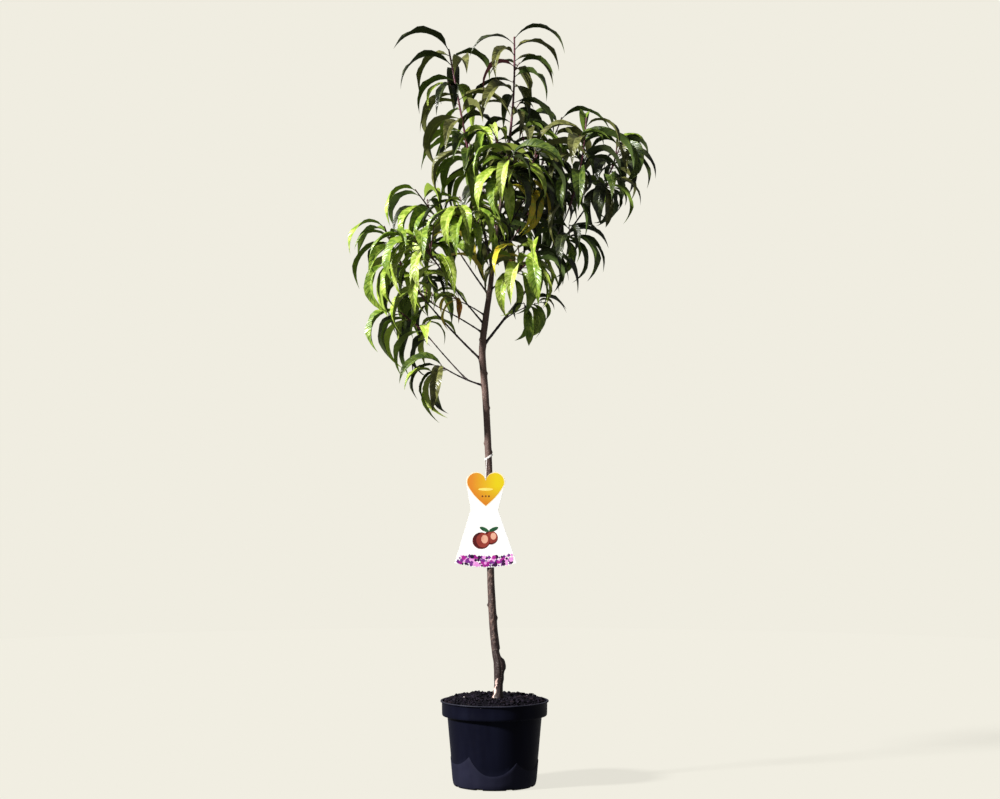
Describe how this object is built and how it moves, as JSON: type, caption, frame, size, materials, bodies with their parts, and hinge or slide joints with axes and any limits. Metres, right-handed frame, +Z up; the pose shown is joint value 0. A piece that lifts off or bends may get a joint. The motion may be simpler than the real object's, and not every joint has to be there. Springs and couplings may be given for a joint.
{
  "type": "dwarf peach tree in a nursery pot",
  "caption": "Young dwarf peach tree with a slender grafted trunk, twin leaders, drooping lance-shaped leaves and a plain hanging tag, in a round black pot of soil.",
  "frame": {"origin": "centre of the pot's flat underside", "axes": "+Z up along the trunk, +X to the side the long right bough leans to, -Y towards the side where the tag hangs"},
  "size_m": [0.6171, 0.427, 1.5431],
  "materials": {
    "pot_plastic": "satin",
    "soil": "rough",
    "trunk_bark": "rough",
    "bough_bark": "satin",
    "leaves": "satin",
    "tag_card": "gloss",
    "tag_strap": "gloss"
  },
  "bodies": {
    "root": {"pot": "pot_plastic", "potting_soil": "soil", "trunk": "trunk_bark", "bough_back": "bough_bark", "bough_back_left": "bough_bark", "bough_back_right": "bough_bark", "bough_centre_front": "bough_bark", "bough_centre_left": "bough_bark", "bough_centre_low": "bough_bark", "bough_front_right": "bough_bark", "bough_left_back": "bough_bark", "bough_left_leader": "bough_bark", "bough_left_main": "bough_bark", "bough_left_middle": "bough_bark", "bough_left_small": "bough_bark", "bough_low_left": "bough_bark", "bough_low_left_outer": "bough_bark", "bough_right_front": "bough_bark", "bough_right_hanging": "bough_bark", "bough_right_inner": "bough_bark", "bough_right_low": "bough_bark", "bough_right_main": "bough_bark", "bough_right_outer": "bough_bark", "bough_upper_left": "bough_bark", "foliage_back": "leaves", "foliage_back_left": "leaves", "foliage_back_right": "leaves", "foliage_centre_front": "leaves", "foliage_centre_left": "leaves", "foliage_centre_low": "leaves", "foliage_front_right": "leaves", "foliage_leader_left": "leaves", "foliage_leader_right": "leaves", "foliage_left_back": "leaves", "foliage_left_leader": "leaves", "foliage_left_middle": "leaves", "foliage_left_outer": "leaves", "foliage_left_small": "leaves", "foliage_low_left": "leaves", "foliage_low_left_outer": "leaves", "foliage_right_front": "leaves", "foliage_right_hanging": "leaves", "foliage_right_inner": "leaves", "foliage_right_low": "leaves", "foliage_right_outer": "leaves", "foliage_right_tip": "leaves", "foliage_top": "leaves", "foliage_upper_left": "leaves", "hang_tag": "tag_card", "tag_strap": "tag_strap"}
  },
  "joints": []
}
